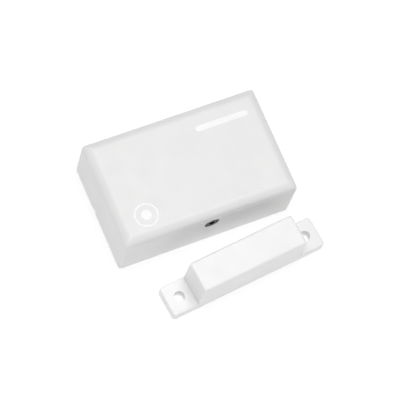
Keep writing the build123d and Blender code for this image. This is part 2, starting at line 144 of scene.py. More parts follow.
def moulded(name, colour, roughness=0.42, texture=0.35 * MM, depth=0.012 * MM):
    """Moulded plastic: spark-eroded texture, slow sink marks and a faint drift of tone."""
    material = new_material(name, colour, roughness)
    darker = tuple(0.975 * channel for channel in colour)
    shade(material, darker, colour, 14 * MM)
    gloss(material, roughness - 0.05, roughness + 0.07, 6 * MM)
    bump(material, texture, depth, detail=4.0)
    return material


def metal(name, dark, light, roughness=0.3, grain=3 * MM, stretch=(1, 1, 1), depth=0.004 * MM):
    """Plated or drawn metal: uneven plating, fine lines along the drawing direction."""
    material = new_material(name, light, roughness, metallic=1.0)
    shade(material, dark, light, grain)
    gloss(material, roughness - 0.08, roughness + 0.12, grain / 2)
    bump(material, grain / 12, depth, stretch=stretch)
    return material


def dress(target, material):
    """Gives an object one material."""
    target.data.materials.clear()
    target.data.materials.append(material)
    return target


# ---------------------------------------------------------------- shapes

def to_object(name, mesh_builder):
    """Turns a bmesh into a linked object with outward faces."""
    bmesh.ops.recalc_face_normals(mesh_builder, faces=mesh_builder.faces)
    mesh = bpy.data.meshes.new(name)
    mesh_builder.to_mesh(mesh)
    mesh_builder.free()
    thing = bpy.data.objects.new(name, mesh)
    bpy.context.scene.collection.objects.link(thing)
    return thing


def soften(thing, angle=32):
    """Smooth shading with edges sharper than the angle kept, and flat faces left flat."""
    mesh_builder = bmesh.new()
    mesh_builder.from_mesh(thing.data)
    for face in mesh_builder.faces:
        face.smooth = True
    for edge in mesh_builder.edges:
        edge.smooth = len(edge.link_faces) == 2 and edge.calc_face_angle(pi) < radians(angle)
    mesh_builder.to_mesh(thing.data)
    mesh_builder.free()
    weighted = thing.modifiers.new("weighted", "WEIGHTED_NORMAL")
    weighted.keep_sharp = True
    return thing


def place_piece(thing, material, body, replaced=()):
    """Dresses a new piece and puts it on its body."""
    dress(thing, material)
    soften(thing)
    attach(thing, body)
    if replaced:
        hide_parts(*replaced)
    return thing


def rounded_ring(centre, half_x, half_y, radius, z, steps=8):
    """Points of a level rounded rectangle."""
    points = []
    for quarter, (side_x, side_y) in enumerate(((1, 1), (-1, 1), (-1, -1), (1, -1))):
        x = centre.x + side_x * (half_x - radius)
        y = centre.y + side_y * (half_y - radius)
        for step in range(steps + 1):
            angle = (quarter + step / steps) * pi / 2
            points.append(Vector((x + radius * cos(angle), y + radius * sin(angle), z)))
    return points


def add_loft(mesh_builder, rings):
    """Adds a closed skin through rings that have equal numbers of points, capped at both ends."""
    loops = [[mesh_builder.verts.new(point) for point in ring] for ring in rings]
    count = len(loops[0])
    for lower, upper in zip(loops, loops[1:]):
        for i in range(count):
            j = (i + 1) % count
            mesh_builder.faces.new((lower[i], lower[j], upper[j], upper[i]))
    mesh_builder.faces.new(loops[0])
    mesh_builder.faces.new(loops[-1])


def turned_rings(profile, centre, axis, segments=48):
    """Rings of a turned shape from (radius, distance along the axis) pairs."""
    across = [direction for direction in (Vector((1, 0, 0)), Vector((0, 1, 0)), Vector((0, 0, 1)))
              if abs(direction.dot(axis)) < 0.5]
    rings = []
    for radius, along in profile:
        middle = centre + axis * along
        ring = []
        for i in range(segments):
            angle = tau * i / segments
            ring.append(middle + across[0] * radius * cos(angle) + across[1] * radius * sin(angle))
        rings.append(ring)
    return rings


def add_turned(mesh_builder, profile, centre, axis, segments=48):
    """Adds a closed turned solid; the profile's ends are capped."""
    add_loft(mesh_builder, turned_rings(profile, centre, axis, segments))


def add_bar(mesh_builder, start, end, width, bottom, top):
    """Adds a straight flat strip from start to end, with half-round ends and a slightly narrower top."""
    start, end = Vector(start), Vector(end)
    along = (end - start).normalized()
    side = Vector((-along.y, along.x))
    rings = []
    for half, z in ((width / 2, bottom), (width / 2, (bottom + 2 * top) / 3), (width * 0.42, top)):
        ring = []
        for point, turn in ((end, -pi / 2), (start, pi / 2)):
            for step in range(5):
                angle = turn + step * pi / 4
                offset = along * cos(angle) * half + side * sin(angle) * half
                ring.append(Vector((point.x + offset.x, point.y + offset.y, z)))
        rings.append(ring)
    add_loft(mesh_builder, rings)


def add_route(mesh_builder, points, width, bottom, top):
    """Adds a track that bends at each point."""
    for start, end in zip(points, points[1:]):
        add_bar(mesh_builder, start, end, width, bottom, top)


def add_pad(mesh_builder, centre, half_x, half_y, bottom, top, edge):
    """Adds a small rectangular slab with a rounded outline and a softened top."""
    rings = []
    for inset, z in ((0, bottom), (0, top - edge), (0.3 * edge, top - 0.3 * edge), (edge, top)):
        rings.append(rounded_ring(centre, half_x - inset, half_y - inset, edge, z, steps=3))
    add_loft(mesh_builder, rings)


def extruded_y(outline, start, end):
    """A prism along +Y from (x, z) points."""
    mesh_builder = bmesh.new()
    add_loft(mesh_builder, [[Vector((x, y, z)) for x, z in outline] for y in (start, end)])
    return mesh_builder


def carve(thing, mesh_builder, operation):
    """Joins a tool shape to a piece, or cuts it away."""
    tool = to_object("tool", mesh_builder)
    step = thing.modifiers.new("carve", "BOOLEAN")
    step.operation = operation
    step.solver = "EXACT"
    step.object = tool
    seen = thing.evaluated_get(bpy.context.evaluated_depsgraph_get())
    carved = bpy.data.meshes.new_from_object(seen)
    thing.modifiers.remove(step)
    thing.data = carved
    bpy.data.objects.remove(tool)


def islands(node):
    """The (low, high) corners of each separate solid in a CAD node."""
    mesh_builder = bmesh.new()
    mesh_builder.from_mesh(nodes[node].data)
    bmesh.ops.remove_doubles(mesh_builder, verts=mesh_builder.verts, dist=0.001 * MM)
    waiting = set(mesh_builder.verts)
    found = []
    while waiting:
        front = [waiting.pop()]
        group = []
        while front:
            vertex = front.pop()
            group.append(vertex.co.copy())
            for edge in vertex.link_edges:
                other = edge.other_vert(vertex)
                if other in waiting:
                    waiting.remove(other)
                    front.append(other)
        low = Vector([min(point[axis] for point in group) for axis in range(3)])
        high = Vector([max(point[axis] for point in group) for axis in range(3)])
        found.append((low, high))
    mesh_builder.free()
    return sorted(found, key=lambda corners: tuple(corners[0]))


def object_axes(material, vector="Object"):
    """The frame's x, y and z as separate values, or those of the surface's own Normal."""
    place = add_node(material, "ShaderNodeTexCoord")
    split = add_node(material, "ShaderNodeSeparateXYZ")
    link(material, place.outputs[vector], split.inputs["Vector"])
    return split.outputs


def ramp_between(material, value, low, high):
    """0 where the value is at or below low, 1 at or above high."""
    ramp = add_node(material, "ShaderNodeMapRange", From_Min=low, From_Max=high)
    link(material, value, ramp.inputs["Value"])
    return ramp.outputs["Result"]


def blend_colours(material, factor, first, second):
    """A colour that goes from first to second; each is a colour or another node's output."""
    mix = material.node_tree.nodes.new("ShaderNodeMix")
    mix.data_type = "RGBA"
    link(material, factor, mix.inputs["Factor"])
    for name, value in (("A", first), ("B", second)):
        if isinstance(value, tuple):
            mix.inputs[name].default_value = (*value, 1.0)
        else:
            link(material, value, mix.inputs[name])
    return mix.outputs["Result"]


def make_cell_material():
    """Printed sleeve over a steel can, folded over both ends, with a pale stripe near the positive end."""
    low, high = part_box("battery")
    middle = (low + high) / 2
    radius = (high.z - low.z) / 2
    blend_width = 0.1 * MM
    fold = radius - 1.75 * MM           # the sleeve's edge, from the axis, on both end faces
    stripe_start = high.x - 11.2 * MM
    stripe_end = high.x - 10.0 * MM
    blue = (0.012, 0.06, 0.2)
    pale = (0.55, 0.57, 0.58)
    material = metal("cell_sleeve", (0.5, 0.5, 0.5), (0.7, 0.7, 0.69), roughness=0.24)
    shader = material.node_tree.nodes["Principled BSDF"]
    steel = shader.inputs["Base Color"].links[0].from_socket
    axes = object_axes(material)
    flat = add_node(material, "ShaderNodeCombineXYZ")
    link(material, axes["Y"], flat.inputs["Y"])
    link(material, axes["Z"], flat.inputs["Z"])
    reach = add_node(material, "ShaderNodeVectorMath")
    reach.operation = "DISTANCE"
    reach.inputs[1].default_value = (0, middle.y, middle.z)
    link(material, flat.outputs["Vector"], reach.inputs[0])
    sleeve = ramp_between(material, reach.outputs["Value"], fold, fold + blend_width)
    starts = ramp_between(material, axes["X"], stripe_start, stripe_start + blend_width)
    ends = ramp_between(material, axes["X"], stripe_end, stripe_end + blend_width)
    printed = blend_colours(material, starts, blue, pale)
    printed = blend_colours(material, ends, printed, blue)
    link(material, blend_colours(material, sleeve, steel, printed), shader.inputs["Base Color"])
    bare = add_node(material, "ShaderNodeMath")
    bare.operation = "SUBTRACT"
    bare.inputs[0].default_value = 1.0
    link(material, sleeve, bare.inputs[1])
    link(material, bare.outputs["Value"], shader.inputs["Metallic"])
    return material


def make_led_material():
    """White body with a clear, slightly amber lens on top."""
    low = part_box("status_led")[0]
    material = moulded("led_body", (0.74, 0.73, 0.68), roughness=0.4, texture=0.1 * MM, depth=0.004 * MM)
    shader = material.node_tree.nodes["Principled BSDF"]
    body = shader.inputs["Base Color"].links[0].from_socket
    body_top = low.z + 0.7 * MM
    lens = ramp_between(material, object_axes(material)["Z"], body_top - 0.02 * MM, body_top + 0.02 * MM)
    link(material, blend_colours(material, lens, body, (0.75, 0.55, 0.16)), shader.inputs["Base Color"])
    shader.inputs["Coat Weight"].default_value = 0.6
    shader.inputs["Coat Roughness"].default_value = 0.08
    return material


def make_glass_material():
    """Greenish sealed glass with slight drawing lines."""
    material = new_material("reed_tube", (0.8, 0.92, 0.8), 0.06, Transmission_Weight=0.9, IOR=1.48)
    shade(material, (0.7, 0.88, 0.7), (0.86, 0.95, 0.86), 2 * MM)
    gloss(material, 0.03, 0.12, 1 * MM)
    bump(material, 0.5 * MM, 0.004 * MM, stretch=(0.2, 1, 1))
    return material


def make_magnet_material():
    """Moulded plastic like the cover's but smoother, with painted shade making it a shade greyer where the
    flange faces outwards.
    """
    material = moulded("white_magnet", MAGNET_WHITE, roughness=0.36, texture=0.5 * MM, depth=0.006 * MM)
    shader = material.node_tree.nodes["Principled BSDF"]
    plain = shader.inputs["Base Color"].links[0].from_socket
    # Painted shade: the flange's outward face is darkened to 94 percent to stand in for less light falling
    # there; the block above it stays plain.
    painted_shade_grey = tuple(0.94 * channel for channel in MAGNET_WHITE)
    top = mounts["magnet_screws"]["pos_m"][2]       # height of the flange's outward face
    outward = ramp_between(material, object_axes(material, "Normal")["Z"], 0.7, 0.95)
    flange_painted_shade = blend_colours(material, outward, plain, painted_shade_grey)
    block = ramp_between(material, object_axes(material)["Z"], top + 0.1 * MM, top + 0.5 * MM)
    link(material, blend_colours(material, block, flange_painted_shade, plain), shader.inputs["Base Color"])
    return material


WHITE = (0.80, 0.80, 0.797)
MARK_WHITE = (0.9, 0.9, 0.897)
MAGNET_WHITE = (0.865, 0.865, 0.862)
white_cover = moulded("white_cover", WHITE)
white_mark = moulded("white_mark", MARK_WHITE, roughness=0.3, texture=0.2 * MM, depth=0.003 * MM)
white_plate = moulded("white_plate", (0.77, 0.77, 0.76), roughness=0.5)
white_print = moulded("white_print", (0.72, 0.72, 0.7), roughness=0.55, texture=0.1 * MM, depth=0.002 * MM)
black_oxide = metal("black_oxide", (0.008, 0.008, 0.009), (0.018, 0.018, 0.02), roughness=0.42)
solder = metal("solder", (0.52, 0.52, 0.53), (0.76, 0.76, 0.77), roughness=0.22, grain=0.8 * MM)
masked_copper = moulded("masked_copper", (0.03, 0.19, 0.07), roughness=0.28, texture=0.3 * MM,
                        depth=0.003 * MM)
node_materials = {
    "back_plate": white_plate,
    "magnet_retainer": moulded("white_plug", (0.7, 0.7, 0.69), roughness=0.55),
    "front_cover": white_cover,
    "magnet_housing": make_magnet_material(),
    "battery_holder": moulded("black_nylon", (0.018, 0.018, 0.019), roughness=0.5),
    "circuit_board": moulded("solder_mask", (0.008, 0.085, 0.03), roughness=0.3, texture=0.6 * MM,
                             depth=0.008 * MM),
    "tamper_switch": moulded("black_switch", (0.02, 0.02, 0.021), roughness=0.45),
    "learn_switch": moulded("black_button_body", (0.022, 0.022, 0.023), roughness=0.45),
    "tamper_plunger": moulded("grey_plunger", (0.3, 0.31, 0.33), roughness=0.4),
    "learn_button": moulded("red_button", (0.42, 0.02, 0.015), roughness=0.4),
    "controller_chip": moulded("black_epoxy", (0.014, 0.014, 0.015), roughness=0.6, texture=0.12 * MM),
    "capacitors": moulded("tan_ceramic", (0.33, 0.2, 0.1), roughness=0.55, texture=0.2 * MM),
    "resistors": moulded("black_glaze", (0.016, 0.016, 0.018), roughness=0.3, texture=0.2 * MM),
    "bar_magnet": moulded("ferrite", (0.05, 0.05, 0.055), roughness=0.6, texture=0.2 * MM, depth=0.02 * MM),
    "lock_screw": black_oxide,
    "retaining_clip": metal("phosphate_steel", (0.1, 0.1, 0.1), (0.2, 0.2, 0.21), roughness=0.45),
    "threaded_insert": metal("brass", (0.5, 0.33, 0.1), (0.68, 0.49, 0.2), roughness=0.3),
    "board_screws": metal("zinc", (0.45, 0.46, 0.47), (0.68, 0.68, 0.66), roughness=0.28),
    "contact_positive": metal("nickel_leaf", (0.52, 0.5, 0.45), (0.72, 0.7, 0.65), roughness=0.25),
    "contact_negative": metal("nickel_plate", (0.52, 0.5, 0.45), (0.72, 0.7, 0.65), roughness=0.25),
    "battery_spring": metal("nickel_wire", (0.5, 0.49, 0.45), (0.72, 0.7, 0.66), roughness=0.22),
    "battery": make_cell_material(),
    "reed_glass": make_glass_material(),
    "reed_blades": metal("nickel_iron", (0.42, 0.4, 0.33), (0.62, 0.59, 0.5), roughness=0.32),
    "radio_shield": metal("tin_sheet", (0.5, 0.51, 0.53), (0.7, 0.71, 0.72), roughness=0.35),
    "antenna": metal("copper_wire", (0.5, 0.19, 0.07), (0.75, 0.36, 0.16), roughness=0.25),
    "chip_pins": metal("pin_tin", (0.5, 0.5, 0.5), (0.72, 0.72, 0.73), roughness=0.3, grain=1 * MM),
    "crystal": metal("crystal_can", (0.55, 0.55, 0.54), (0.76, 0.76, 0.75), roughness=0.2),
    "status_led": make_led_material(),
}
for node_name, node_material in node_materials.items():
    dress(nodes[node_name], node_material)


# ---------------------------------------------------------------- cover

cover_low, cover_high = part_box("front_cover")
screw_low, screw_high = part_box("lock_screw")
screw_axis = Vector(((screw_low.x + screw_high.x) / 2, 0, (screw_low.z + screw_high.z) / 2))
insert_low, insert_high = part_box("threaded_insert")
cell_low, cell_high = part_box("battery")
plunger_low, plunger_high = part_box("tamper_plunger")

WALL = 2.0 * MM
ROOT = 0.4 * MM             # ribs and bosses start this deep in the cover's skin
EDGE = 3.8 * MM             # radius of the rounding between the walls and the front
INNER_EDGE = 1.8 * MM
CORNER = 1.2 * MM
INNER_CORNER = 0.8 * MM
LIP = 0.25 * MM
LEDGE = 0.15 * MM           # the rounding on the long sides starts this far inside the walls
MARK_HEIGHT = 0.03 * MM
FOOT_GAP = 0.3 * MM         # between the ribs or the peg and what lies under them
SCREW_BORE = 2.9 * MM
INSERT_BORE = 2.3 * MM


def cover_rings():
    """Level rings from the roof of the hollow, down inside, round the rim and up to the front."""
    centre = (cover_low + cover_high) / 2
    half = (cover_high - cover_low) / 2
    front = cover_high.z - MARK_HEIGHT
    shoulder = front - EDGE
    roof = cover_high.z - WALL
    rings = []

    def ring(inset_x, inset_y, z, corner):
        rings.append(rounded_ring(centre, half.x - inset_x, half.y - inset_y, corner, z))

    for step in range(9):
        angle = pi / 2 * (1 - step / 8)
        inset = WALL + INNER_EDGE * (1 - cos(angle))
        ring(inset, inset, roof - INNER_EDGE + INNER_EDGE * sin(angle), INNER_CORNER)
    for step in range(5):
        angle = pi / 2 * step / 4
        inset = WALL - LIP * (1 - cos(angle))
        ring(inset, inset, cover_low.z + LIP * (1 - sin(angle)), INNER_CORNER)
    for step in range(5):
        angle = pi / 2 * (1 - step / 4)
        inset = LIP * (1 - cos(angle))
        ring(inset, inset, cover_low.z + LIP * (1 - sin(angle)), CORNER)
    for inset_y, drop in ((0, 0.12 * MM), (0.04 * MM, 0.05 * MM), (0.11 * MM, 0.01 * MM)):
        ring(0, inset_y, shoulder - drop, CORNER)
    for step in range(15):
        angle = pi / 2 * step / 14
        inset = EDGE * (1 - cos(angle))
        ring(inset, inset + LEDGE, shoulder + EDGE * sin(angle), CORNER - 0.1 * inset)
    return rings


def boss_outline(half_width, root):
    """(x, z) outline of the screw boss, half round below."""
    outline = [(screw_axis.x + half_width, root)]
    for step in range(25):
        angle = -pi * step / 24
        outline.append((screw_axis.x + half_width * cos(angle), screw_axis.z + half_width * sin(angle)))
    outline.append((screw_axis.x - half_width, root))
    return outline


def add_cell_rib(shell, side, rooted):
    """Joins one of the two ribs over the cell, its foot softened."""
    centre = Vector((side * 9.0 * MM, (cell_low.y + cell_high.y) / 2, 0))
    foot = cell_high.z + FOOT_GAP
    half_x, half_y = 0.6 * MM, 5.0 * MM
    soft = 0.2 * MM
    rib = bmesh.new()
    add_loft(rib, [rounded_ring(centre, half_x - soft, half_y - soft, 0.15 * MM, foot, steps=3),
                   rounded_ring(centre, half_x, half_y, 0.3 * MM, foot + soft, steps=3),
                   rounded_ring(centre, half_x, half_y, 0.3 * MM, rooted, steps=3)])
    carve(shell, rib, "UNION")


def add_tamper_peg(shell, rooted):
    """Joins the peg that stands over the tamper plunger."""
    axis = (plunger_low + plunger_high) / 2
    axis.z = 0
    foot = plunger_high.z + FOOT_GAP
    radius = 1.8 * MM
    soft = 0.2 * MM
    peg = bmesh.new()
    add_turned(peg, ((radius - soft, foot), (radius, foot + soft), (radius, rooted)), axis, UP)
    carve(shell, peg, "UNION")


def cut_screw_hole(shell):
    """Cuts the hole for the screw's head, with a softened mouth, and the seat of the insert behind it."""
    mouth = cover_low.y
    beyond = 0.5 * MM
    profile = ((SCREW_BORE + 0.2 * MM, mouth - beyond), (SCREW_BORE + 0.12 * MM, mouth),
               (SCREW_BORE + 0.04 * MM, mouth + 0.03 * MM), (SCREW_BORE, mouth + 0.1 * MM),
               (SCREW_BORE, insert_low.y), (INSERT_BORE, insert_low.y + 0.01 * MM),
               (INSERT_BORE, insert_high.y + beyond))
    hole = bmesh.new()
    add_turned(hole, profile, screw_axis, Vector((0, 1, 0)), segments=64)
    carve(shell, hole, "DIFFERENCE")


def cut_notch(shell):
    """Cuts the release notch in the left wall's rim, its roof softened."""
    centre = Vector((cover_low.x, 3.0 * MM, 0))
    half_x, half_y = 4.0 * MM, 1.2 * MM
    top = cover_low.z + 1.6 * MM
    rings = [rounded_ring(centre, half_x - inset, half_y - inset, 0.2 * MM, z, steps=3)
             for inset, z in ((0, cover_low.z - 0.5 * MM), (0, top - 0.3 * MM), (0.1 * MM, top - 0.08 * MM),
                              (0.3 * MM, top))]
    notch = bmesh.new()
    add_loft(notch, rings)
    carve(shell, notch, "DIFFERENCE")


def make_cover_shell():
    """The cover with its boss, ribs and peg, its screw hole and the release notch."""
    mesh_builder = bmesh.new()
    add_loft(mesh_builder, cover_rings())
    shell = to_object("cover_shell", mesh_builder)
    rooted = cover_high.z - WALL + ROOT
    boss_start = cover_low.y + WALL - ROOT
    carve(shell, extruded_y(boss_outline(4.4 * MM, rooted), boss_start, insert_high.y), "UNION")
    for side in (-1, 1):
        add_cell_rib(shell, side, rooted)
    add_tamper_peg(shell, rooted)
    cut_screw_hole(shell)
    cut_notch(shell)
    place_piece(shell, white_cover, "cover", ["front_cover"])


def make_marks():
    """Two blank marks on the front: a ring round a disc, and a plain bar."""
    top = cover_high.z
    bottom = top - 3 * MARK_HEIGHT
    soft = 0.01 * MM
    bevel = 0.04 * MM
    length = cover_high.x - cover_low.x
    width = cover_high.y - cover_low.y

    outer, inner, disc = 4.5 * MM, 3.9 * MM, 1.9 * MM
    centre = Vector((cover_low.x + 0.167 * length, cover_low.y + 0.21 * width, 0))
    profile = ((outer, bottom), (outer, top - soft), (outer - bevel, top), (inner + bevel, top),
               (inner, top - soft), (inner, bottom))
    segments = 96
    ring = bmesh.new()
    loops = turned_rings(profile, centre, UP, segments)
    verts = [[ring.verts.new(point) for point in loop] for loop in loops]
    for lower, upper in zip(verts, verts[1:] + verts[:1]):
        for i in range(segments):
            j = (i + 1) % segments
            ring.faces.new((lower[i], lower[j], upper[j], upper[i]))
    add_turned(ring, ((disc, bottom), (disc, top - soft), (disc - bevel, top)), centre, UP)
    place_piece(to_object("mark_ring", ring), white_mark, "cover")

    half_length, half_width, corner = 10.3 * MM, 1.1 * MM, 1.0 * MM
    centre = Vector((cover_high.x - 0.246 * length, cover_high.y - 0.212 * width, 0))
    rings = [rounded_ring(centre, half_length - inset, half_width - inset, corner - inset, z)
             for inset, z in ((0, bottom), (0, top - soft), (bevel, top))]
    bar = bmesh.new()
    add_loft(bar, rings)
    place_piece(to_object("mark_bar", bar), white_mark, "cover")


# ---------------------------------------------------------------- lock screw

CORE = 1.24 * MM            # radius at the thread's root
CREST = 1.5 * MM
THREAD_PITCH = 0.5 * MM


def make_screw_body(face, tip, neck_start, neck_end):
    """Rounded head with a hexagonal socket, plain core, and the clip's groove."""
    along = Vector((0, 1, 0))
    head = (screw_high.x - screw_low.x) / 2
    neck = 1.15 * MM
    step = 0.01 * MM
    profile = [(head - 0.5 * MM, face), (head - 0.24 * MM, face + 0.05 * MM),
               (head - 0.07 * MM, face + 0.17 * MM), (head, face + 0.36 * MM),
               (head, face + 1.46 * MM), (head - 0.06 * MM, face + 1.56 * MM),
               (head - 0.15 * MM, face + 1.6 * MM), (CREST + 0.15 * MM, face + 1.6 * MM),
               (CREST, face + 1.75 * MM), (CREST, face + 2.1 * MM), (CORE, face + 2.3 * MM),
               (CORE, neck_start), (neck, neck_start + step), (neck, neck_end - step),
               (CORE, neck_end), (CORE, tip - 0.25 * MM), (CORE - 0.2 * MM, tip)]
    body = bmesh.new()
    add_turned(body, profile, screw_axis, along, segments=64)
    screw = to_object("lock_screw_body", body)

    half_corner = 1.0 * MM / cos(pi / 6)
    rings = []
    for scale, depth in ((1.25, -0.2 * MM), (1.12, 0), (1.0, 0.12 * MM), (1.0, 1.0 * MM)):
        middle = screw_axis + along * (face + depth)
        rings.append([middle + Vector((cos(tau * i / 6), 0, sin(tau * i / 6))) * half_corner * scale
                      for i in range(6)])
    socket = bmesh.new()
    add_loft(socket, rings)
    carve(screw, socket, "DIFFERENCE")
    place_piece(screw, black_oxide, "lock_screw", ["lock_screw"])


def add_thread(mesh_builder, start, end):
    """Adds a length of helical thread that fades out at both ends."""
    root = CORE - 0.03 * MM
    segments = 40
    rows = int((end - start) / THREAD_PITCH * 8)
    rings = []
    for row in range(rows + 1):
        y = start + (end - start) * row / rows
        ease = max(0.0, min(1.0, (y - start) / (0.3 * MM), (end - y) / (0.35 * MM)))
        ring = []
        for i in range(segments):
            angle = tau * i / segments
            phase = (y / THREAD_PITCH - angle / tau) % 1.0
            crest = max(0.0, 1.0 - abs(phase - 0.5) / 0.42)
            radius = root + (CREST - root) * crest * ease
            ring.append(screw_axis + Vector((radius * cos(angle), y, radius * sin(angle))))
        rings.append(ring)
    add_loft(mesh_builder, rings)


def make_lock_screw():
    """Black socket-head screw, with its thread as a second piece round the core."""
    face = screw_low.y
    tip = screw_high.y
    clip_low, clip_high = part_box("retaining_clip")
    neck_start = clip_low.y - 0.03 * MM
    neck_end = clip_high.y + 0.03 * MM
    make_screw_body(face, tip, neck_start, neck_end)
    thread = bmesh.new()
    add_thread(thread, face + 2.0 * MM, neck_start)
    add_thread(thread, neck_end, tip - 0.05 * MM)
    place_piece(to_object("lock_screw_thread", thread), black_oxide, "lock_screw")


# ---------------------------------------------------------------- board details

board_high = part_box("circuit_board")[1]
shield_low, shield_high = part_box("radio_shield")
chip_low, chip_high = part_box("controller_chip")
chip_centre = (chip_low + chip_high) / 2
BOARD_TOP = board_high.z
TRACK = 0.02 * MM           # tracks reach this far into the board and above it, and pads this far into it


def add_chip_runs(tracks):
    """Adds a short bent run from each of the chip's pins, and returns their far ends."""
    pins_per_side = 8
    pitch = 0.8 * MM
    turn_off = 0.5 * MM
    start = (chip_high.x - chip_low.x) / 2 + 1.1 * MM
    ends = []
    for quarter in range(4):
        turn = Matrix.Rotation(quarter * pi / 2, 3, "Z")
        for step in range(pins_per_side):
            offset = (step - (pins_per_side - 1) / 2) * pitch
            bend = start + 0.35 * MM + 0.28 * MM * min(step, pins_per_side - 1 - step)
            lean = turn_off if offset > 0 else -turn_off
            points = [Vector((start - 0.3 * MM, offset, 0)), Vector((bend, offset, 0)),
                      Vector((bend + turn_off, offset + lean, 0))]
            points = [(chip_centre + turn @ point).to_2d() for point in points]
            add_route(tracks, points, 0.2 * MM, BOARD_TOP - TRACK, BOARD_TOP + TRACK)
            ends.append(points[-1])
    return ends


def add_bus(tracks):
    """Adds five runs past the keeper's slot, between the board's two lobes, and returns their ends."""
    slot_half_width = 4.7 * MM
    drop = 0.8 * MM
    ends = []
    for line in range(5):
        y = board_high.y - 0.9 * MM - 0.55 * MM * line
        left = screw_axis.x - slot_half_width - 2.5 * MM - 0.9 * MM * line
        right = screw_axis.x + slot_half_width + 0.8 * MM + 0.6 * MM * line
        points = [Vector((left - drop, y - drop)), Vector((left, y)), Vector((right, y)),
                  Vector((right + 0.4 * drop, y - 0.4 * drop))]
        add_route(tracks, points, 0.22 * MM, BOARD_TOP - TRACK, BOARD_TOP + TRACK)
        ends += [points[0], points[-1]]
    return ends


def add_shield_runs(tracks):
    """Adds six short runs out from under the radio's can, and returns their ends."""
    ends = []
    for line in range(6):
        y = shield_low.y + 1.2 * MM + 1.3 * MM * line
        points = [Vector((shield_high.x - 0.2 * MM, y)), Vector((shield_high.x + 0.9 * MM, y)),
                  Vector((shield_high.x + 1.4 * MM, y + 0.5 * MM))]
        add_route(tracks, points, 0.25 * MM, BOARD_TOP - TRACK, BOARD_TOP + TRACK)
        ends.append(points[-1])
    return ends


def make_tracks():
    """Masked copper runs. Returns the places of the vias at their ends."""
    tracks = bmesh.new()
    vias = add_chip_runs(tracks) + add_bus(tracks) + add_shield_runs(tracks)
    place_piece(to_object("board_tracks", tracks), masked_copper, "base")
    return vias


def add_solder(pads, x, y, half_x, half_y, height, edge):
    """Adds one soldered pad on the board."""
    add_pad(pads, Vector((x, y, 0)), half_x, half_y, BOARD_TOP - TRACK, BOARD_TOP + height, edge)


def add_pin_pads(pads):
    """Adds a pad under the foot of each of the chip's pins."""
    long_half, short_half = 0.42 * MM, 0.24 * MM
    outwards = 0.3 * MM
    for low, high in islands("chip_pins"):
        centre = (low + high) / 2
        if high.x - low.x > high.y - low.y:
            x = centre.x + (outwards if centre.x > chip_centre.x else -outwards)
            add_solder(pads, x, centre.y, long_half, short_half, 0.06 * MM, 0.05 * MM)
        else:
            y = centre.y + (outwards if centre.y > chip_centre.y else -outwards)
            add_solder(pads, centre.x, y, short_half, long_half, 0.06 * MM, 0.05 * MM)


def add_end_caps(pads, node):
    """Adds solder and a plated band to both ends of each small ceramic part."""
    base = BOARD_TOP - TRACK
    for low, high in islands(node):
        x = (low.x + high.x) / 2
        half_x = (high.x - low.x) / 2 + 0.06 * MM
        for end, inward in ((low.y, 1), (high.y, -1)):
            add_solder(pads, x, end + inward * 0.12 * MM, half_x, 0.42 * MM, 0.1 * MM, 0.08 * MM)
            band = Vector((x, end + inward * 0.17 * MM, 0))
            add_pad(pads, band, half_x - 0.03 * MM, 0.2 * MM, base, high.z + 0.03 * MM, 0.05 * MM)


def add_lead_joints(pads):
    """Adds a solder cone round each wire that goes into the board."""
    cone = ((0.75 * MM, BOARD_TOP - TRACK), (0.7 * MM, BOARD_TOP + 0.05 * MM),
            (0.48 * MM, BOARD_TOP + 0.2 * MM), (0.34 * MM, BOARD_TOP + 0.5 * MM),
            (0.28 * MM, BOARD_TOP + 0.62 * MM))
    lead = 0.28 * MM
    blade_low, blade_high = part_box("reed_blades")
    reed_y = (blade_low.y + blade_high.y) / 2
    coil_low, coil_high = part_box("antenna")
    feet = ((blade_low.x + lead, reed_y), (blade_high.x - lead, reed_y),
            (coil_low.x + lead, (coil_low.y + coil_high.y) / 2))
    for x, y in feet:
        add_turned(pads, cone, Vector((x, y, 0)), UP, segments=28)


def add_body_pads(pads):
    """Adds the solder at the cell's contacts, the switches and the radio's can."""
    half_contact = 0.2 * MM
    for node in ("contact_positive", "contact_negative"):
        low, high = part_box(node)
        x = high.x - half_contact if low.x > 0 else low.x + half_contact
        add_solder(pads, x, board_high.y - 0.75 * MM, 0.7 * MM, 0.55 * MM, 0.3 * MM, 0.25 * MM)
    for low, high in (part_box("tamper_switch"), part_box("learn_switch")):
        for x in (low.x, high.x):
            for y in (low.y + 0.9 * MM, high.y - 0.9 * MM):
                add_solder(pads, x, y, 0.55 * MM, 0.35 * MM, 0.18 * MM, 0.1 * MM)
    for x in (shield_low.x, (shield_low.x + shield_high.x) / 2, shield_high.x):
        for y in (shield_low.y, shield_high.y):
            add_solder(pads, x, y, 0.5 * MM, 0.3 * MM, 0.14 * MM, 0.1 * MM)


def make_pads(vias):
    """Soldered pads under the parts' ends and pins, rings round the vias, and solder cones at the leads."""
    pads = bmesh.new()
    add_pin_pads(pads)
    for node in ("capacitors", "resistors"):
        add_end_caps(pads, node)
    ring = ((0.32 * MM, BOARD_TOP - TRACK), (0.32 * MM, BOARD_TOP + 0.02 * MM),
            (0.28 * MM, BOARD_TOP + 0.035 * MM), (0.16 * MM, BOARD_TOP + 0.03 * MM),
            (0.12 * MM, BOARD_TOP - 0.01 * MM))
    for point in vias:
        add_turned(pads, ring, Vector((point.x, point.y, 0)), UP, segments=20)
    add_lead_joints(pads)
    add_body_pads(pads)
    place_piece(to_object("board_solder", pads), solder, "base")


PRINT_BOTTOM = BOARD_TOP - 0.01 * MM
PRINT_TOP = BOARD_TOP + 0.025 * MM


def add_frame(mesh_builder, low, high, gap):
    """Adds a printed rectangle round a part, as four strips."""
    corners = [Vector((low.x - gap, low.y - gap)), Vector((high.x + gap, low.y - gap)),
               Vector((high.x + gap, high.y + gap)), Vector((low.x - gap, high.y + gap))]
    for start, end in zip(corners, corners[1:] + corners[:1]):
        add_bar(mesh_builder, start, end, 0.16 * MM, PRINT_BOTTOM, PRINT_TOP)


